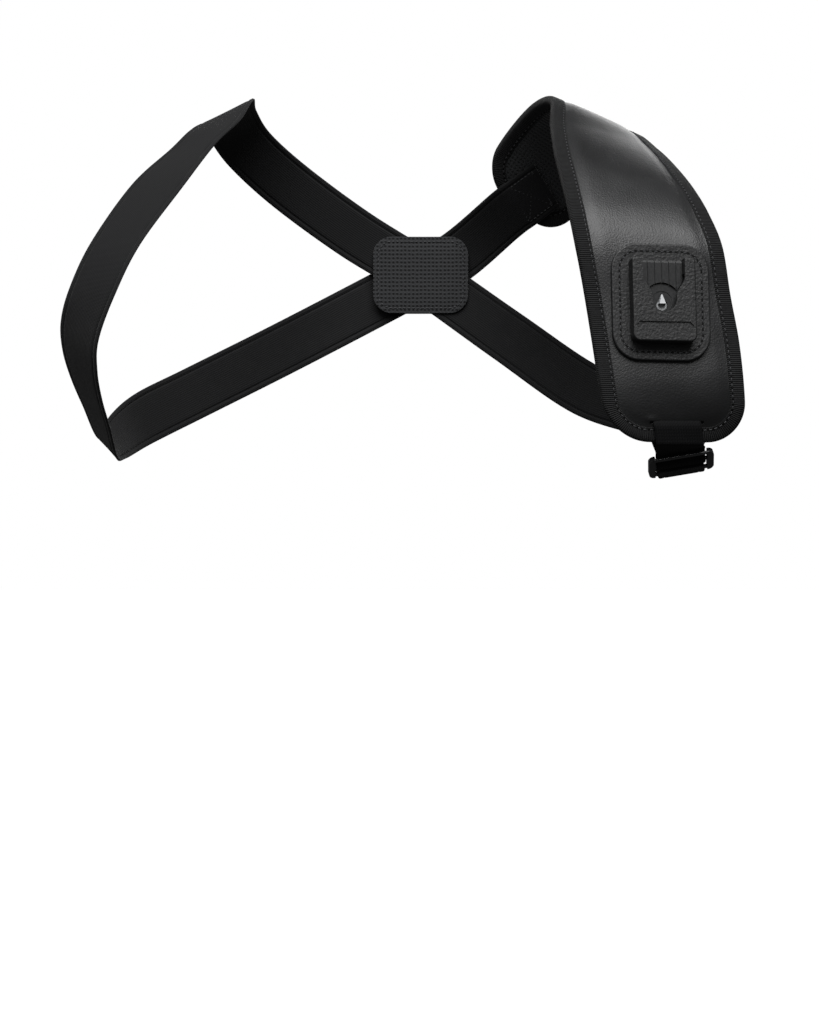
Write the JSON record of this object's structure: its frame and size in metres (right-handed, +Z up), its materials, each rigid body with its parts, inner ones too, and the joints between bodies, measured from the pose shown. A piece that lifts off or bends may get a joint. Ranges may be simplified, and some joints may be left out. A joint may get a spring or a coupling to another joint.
{
  "type": "shoulder harness with click-in dock",
  "caption": "Figure-eight elastic shoulder harness with a padded leather shoulder pad, a click-in dock for a body-worn device and a strap slider below the pad.",
  "frame": {"origin": "on the underside of the shoulder pad where it rests on the top of the wearer's left shoulder", "axes": "+X towards the wearer's left, -Y towards the front, +Z up"},
  "size_m": [0.4154, 0.2143, 0.2441],
  "materials": {
    "leather": "satin",
    "foam": "matte",
    "lining": "matte",
    "binding_tape": "matte",
    "dock_plastic": "textured",
    "guide_plastic": "satin",
    "latch_plastic": "satin",
    "spring_steel": "satin",
    "webbing": "woven",
    "slider_plastic": "gloss",
    "elastic": "woven"
  },
  "bodies": {
    "harness": {"pad_leather": "leather", "pad_foam": "foam", "pad_lining": "lining", "pad_binding": "binding_tape", "dock_housing": "dock_plastic", "dock_guide_plate": "guide_plastic", "latch_spring": "spring_steel", "latch_cap": "guide_plastic", "webbing_front": "webbing", "webbing_back": "webbing", "elastic_lead": "elastic", "elastic_left_arm": "elastic", "elastic_back_falling": "elastic", "elastic_right_shoulder": "elastic", "elastic_right_front": "elastic", "elastic_right_arm": "elastic", "elastic_back_rising": "elastic", "cross_patch_outer": "leather", "cross_patch_inner": "lining"},
    "latch": {"latch_tooth": "latch_plastic"},
    "loop": {"webbing_bend": "webbing"},
    "slider": {"slider": "slider_plastic", "elastic_end": "elastic"}
  },
  "joints": [
    {"name": "latch_press", "type": "slide", "parent": "harness", "child": "latch", "axis": [-0.1767, 0.9723, -0.1533], "range_m": [0, 0.002], "stiffness_N_per_m": 900, "springref_m": -0.0015, "deforming": ["latch_spring"]},
    {"name": "loop_adjust", "type": "slide", "parent": "harness", "child": "loop", "axis": [0.0564, 0.7528, -0.6558], "range_m": [-0.004, 0.022], "deforming": ["webbing_front", "webbing_back", "elastic_lead"]},
    {"name": "slider_tilt", "type": "hinge", "parent": "loop", "child": "slider", "pos_m": [0.04525, -0.08601, -0.21114], "axis": [0.9838, 0.0699, 0.1648], "range_deg": [-6, 6], "deforming": ["webbing_front", "webbing_back", "elastic_lead"]}
  ]
}
